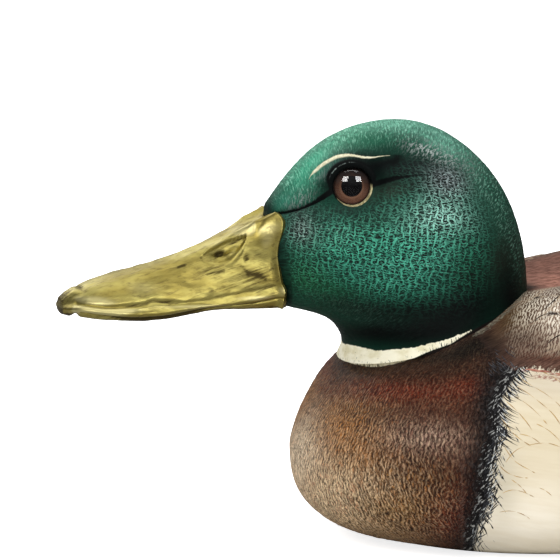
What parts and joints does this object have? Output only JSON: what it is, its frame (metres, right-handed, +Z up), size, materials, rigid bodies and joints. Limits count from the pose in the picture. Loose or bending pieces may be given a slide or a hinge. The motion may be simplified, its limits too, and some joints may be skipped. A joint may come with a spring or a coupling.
{
  "type": "floating duck decoy",
  "caption": "Life-size mallard drake floating decoy, hollow carved wood body with a bolted-on green head, cast brass bill and glass eyes.",
  "frame": {"origin": "centre of the flat bottom, midway between bill tip and tail tip", "axes": "+Z up, -Y forward towards the bill, +X towards the duck's left side"},
  "size_m": [0.152, 0.3801, 0.1118],
  "materials": {
    "painted_cedar": "semi-gloss oil paint over carved cedar: chestnut breast, cream vermiculated flanks, brown back",
    "painted_head": "semi-gloss iridescent green paint over carved wood, white neck ring",
    "painted_tail": "satin off-white paint on a thin board",
    "painted_curl": "satin black paint on thin curled strip",
    "cast_brass": "brushed cast brass with brown patina",
    "birch_dowel": "bare turned wood",
    "zinc_steel": "zinc plated",
    "eye_glass": "clear polished glass",
    "iris_enamel": "dark brown enamel",
    "pupil_enamel": "black enamel",
    "eye_putty": "painted wood putty",
    "ballast_metal": "dull grey cast ballast metal"
  },
  "bodies": {
    "decoy": {"body_upper": "painted_cedar", "body_lower": "painted_cedar", "head": "painted_head", "bill": "cast_brass", "bill_pin": "cast_brass", "neck_bolt": "zinc_steel", "neck_washer": "zinc_steel", "neck_nut": "zinc_steel", "neck_dowel_front": "birch_dowel", "neck_dowel_rear": "birch_dowel", "shell_dowel_front_left": "birch_dowel", "shell_dowel_front_right": "birch_dowel", "shell_dowel_rear_left": "birch_dowel", "shell_dowel_rear_right": "birch_dowel", "eye_glass_left": "eye_glass", "eye_iris_left": "iris_enamel", "eye_pupil_left": "pupil_enamel", "eye_wire_left": "zinc_steel", "eye_putty_left": "eye_putty", "eye_glass_right": "eye_glass", "eye_iris_right": "iris_enamel", "eye_pupil_right": "pupil_enamel", "eye_wire_right": "zinc_steel", "eye_putty_right": "eye_putty", "tail_board": "painted_tail", "tail_curl_left": "painted_curl", "tail_curl_right": "painted_curl", "ballast_weight": "ballast_metal", "ballast_screw_1": "cast_brass", "ballast_screw_2": "cast_brass", "ballast_screw_3": "cast_brass", "ballast_screw_4": "cast_brass", "line_tie_eye": "cast_brass"},
    "tie_ring": {"line_tie_ring": "cast_brass"}
  },
  "joints": [
    {"name": "line_tie_ring_hinge", "type": "hinge", "parent": "decoy", "child": "tie_ring", "pos_m": [0, -0.06535, 0.0039], "axis": [-1, 0, 0], "range_deg": [0, 180]}
  ]
}
